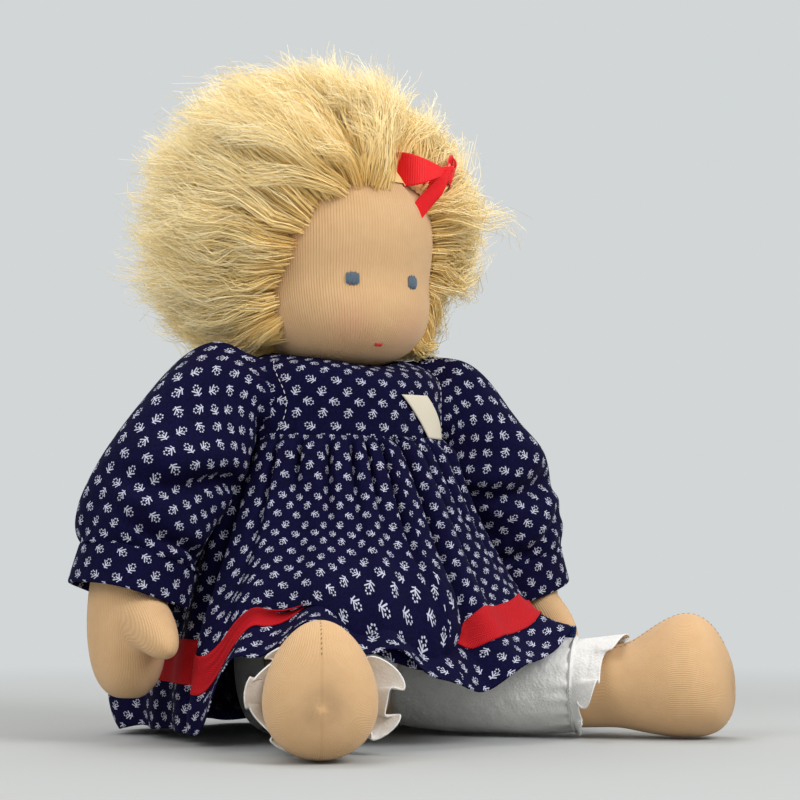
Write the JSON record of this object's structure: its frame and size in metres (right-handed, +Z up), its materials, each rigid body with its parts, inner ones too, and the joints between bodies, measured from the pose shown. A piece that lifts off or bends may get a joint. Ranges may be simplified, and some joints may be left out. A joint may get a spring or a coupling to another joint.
{
  "type": "cloth doll",
  "caption": "Seated cloth doll with a knitted skin over wool, brushed hair with a ribbon bow, a print dress with puffed sleeves, and frilled bloomers; head, arms and legs turn.",
  "frame": {"origin": "centre of the flat underside of the bloomers seat, on the surface that the doll sits on", "axes": "+Z up; the doll's chest faces -Y; its left side is at +X"},
  "size_m": [0.2435, 0.232, 0.2834],
  "materials": {
    "knitted_skin": "fine cotton knit, matte",
    "wool_stuffing": "carded wool, packed firm",
    "tying_thread": "strong twisted thread",
    "eye_thread": "stranded cotton, satin stitch",
    "mouth_thread": "stranded cotton",
    "wig_cap": "crocheted cotton",
    "mohair": "brushed mohair, fluffy",
    "red_ribbon": "fine-ribbed ribbon, low sheen",
    "print_cotton": "navy cotton with small white sprigs",
    "twill_tape": "herringbone twill tape",
    "cream_label": "plain woven cotton tape",
    "button": "smooth",
    "white_cotton": "plain white cotton",
    "elastic": "thin covered elastic"
  },
  "bodies": {
    "torso": {"torso_skin": "knitted_skin", "torso_stuffing": "wool_stuffing", "yoke_front": "print_cotton", "yoke_back_left": "print_cotton", "yoke_back_right": "print_cotton", "back_button_1": "button", "back_button_2": "button", "back_button_3": "button", "chest_label": "cream_label", "skirt_left": "print_cotton", "skirt_right": "print_cotton", "hem_tape_left": "twill_tape", "hem_tape_right": "twill_tape", "sleeve_left": "print_cotton", "sleeve_right": "print_cotton", "bloomers_seat": "white_cotton", "waist_elastic": "elastic"},
    "neck": {"neck_roll": "knitted_skin", "neck_tie": "tying_thread"},
    "head": {"head_skin": "knitted_skin", "head_stuffing": "wool_stuffing", "eye_line_thread": "tying_thread", "eye_left": "eye_thread", "eye_right": "eye_thread", "mouth": "mouth_thread", "wig_cap": "wig_cap", "hair": "mohair", "bow_knot": "red_ribbon", "bow_loop_left": "red_ribbon", "bow_loop_right": "red_ribbon", "bow_tail_left": "red_ribbon", "bow_tail_right": "red_ribbon"},
    "arm_left": {"arm_skin_left": "knitted_skin", "arm_stuffing_left": "wool_stuffing", "cuff_left": "print_cotton"},
    "arm_right": {"arm_skin_right": "knitted_skin", "arm_stuffing_right": "wool_stuffing", "cuff_right": "print_cotton"},
    "leg_left": {"leg_skin_left": "knitted_skin", "leg_stuffing_left": "wool_stuffing", "bloomer_leg_left": "white_cotton", "leg_elastic_left": "elastic", "frill_left": "white_cotton"},
    "leg_right": {"leg_skin_right": "knitted_skin", "leg_stuffing_right": "wool_stuffing", "bloomer_leg_right": "white_cotton", "leg_elastic_right": "elastic", "frill_right": "white_cotton"}
  },
  "joints": [
    {"name": "head_turn", "type": "hinge", "parent": "torso", "child": "neck", "pos_m": [0, 0, 0.1575], "axis": [0, 0, 1], "range_deg": [-30, 30], "stiffness_Nm_per_rad": 0.05, "deforming": ["hair"]},
    {"name": "head_nod", "type": "hinge", "parent": "neck", "child": "head", "pos_m": [0, 0, 0.1575], "axis": [1, 0, 0], "range_deg": [-6, 6], "stiffness_Nm_per_rad": 1.2, "deforming": ["hair"]},
    {"name": "arm_left_swing", "type": "hinge", "parent": "torso", "child": "arm_left", "pos_m": [0.0565, 0, 0.135], "axis": [-1, 0, 0], "range_deg": [-25, 90], "deforming": ["sleeve_left", "skirt_left", "hem_tape_left"]},
    {"name": "arm_right_swing", "type": "hinge", "parent": "torso", "child": "arm_right", "pos_m": [-0.0565, 0, 0.135], "axis": [-1, 0, 0], "range_deg": [-25, 90], "deforming": ["sleeve_right", "skirt_right", "hem_tape_right"]},
    {"name": "leg_left_lift", "type": "hinge", "parent": "torso", "child": "leg_left", "pos_m": [0.026, -0.022, 0.0212], "axis": [-0.7314, -0.682, 0], "range_deg": [-90, 25], "deforming": ["skirt_left", "hem_tape_left", "bloomer_leg_left", "frill_left"]},
    {"name": "leg_right_lift", "type": "hinge", "parent": "torso", "child": "leg_right", "pos_m": [-0.026, -0.022, 0.0212], "axis": [-0.866, 0.5, 0], "range_deg": [-90, 25], "deforming": ["skirt_right", "hem_tape_right", "bloomer_leg_right", "frill_right"]}
  ]
}
